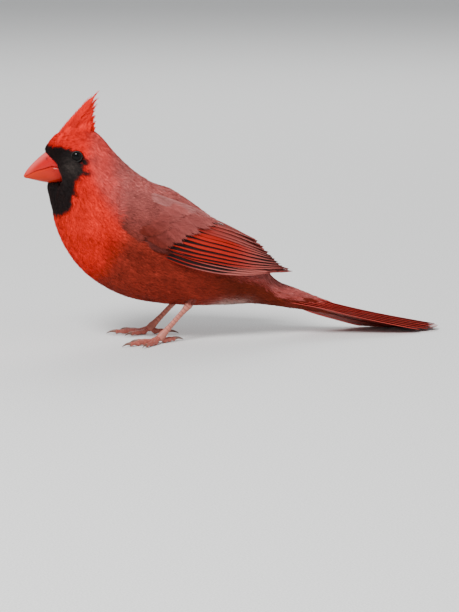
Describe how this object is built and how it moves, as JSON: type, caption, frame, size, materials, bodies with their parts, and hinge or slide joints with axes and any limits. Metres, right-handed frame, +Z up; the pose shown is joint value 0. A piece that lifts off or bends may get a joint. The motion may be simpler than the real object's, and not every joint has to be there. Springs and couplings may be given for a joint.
{
  "type": "northern cardinal",
  "caption": "Life-size still model of an adult male northern cardinal, standing, with a raised crest, folded wings and a long tail that rests on the floor.",
  "frame": {"origin": "on the floor, under the middle of the bird's box", "axes": "+X towards the tip of the tail, so the bird faces -X; +Z up; the bird's left side is -Y"},
  "size_m": [0.2098, 0.0534, 0.1218],
  "materials": {
    "head_feathers": "matte",
    "body_feathers": "matte",
    "wing_feathers": "matte",
    "tail_feathers": "matte",
    "leg_skin": "satin",
    "claw": "satin",
    "bill": "satin",
    "eye": "gloss"
  },
  "bodies": {
    "root": {"head": "head_feathers", "neck": "body_feathers", "torso": "body_feathers", "tail": "tail_feathers", "wing_left": "wing_feathers", "wing_right": "wing_feathers", "thigh_left": "body_feathers", "thigh_right": "body_feathers", "shank_left": "leg_skin", "shank_right": "leg_skin", "foot_left": "leg_skin", "foot_right": "leg_skin", "claw_left_hallux": "claw", "claw_left_inner": "claw", "claw_left_middle": "claw", "claw_left_outer": "claw", "claw_right_hallux": "claw", "claw_right_inner": "claw", "claw_right_middle": "claw", "claw_right_outer": "claw", "eye_left": "eye", "eye_right": "eye", "bill_upper": "bill", "bill_lower": "bill"}
  },
  "joints": []
}
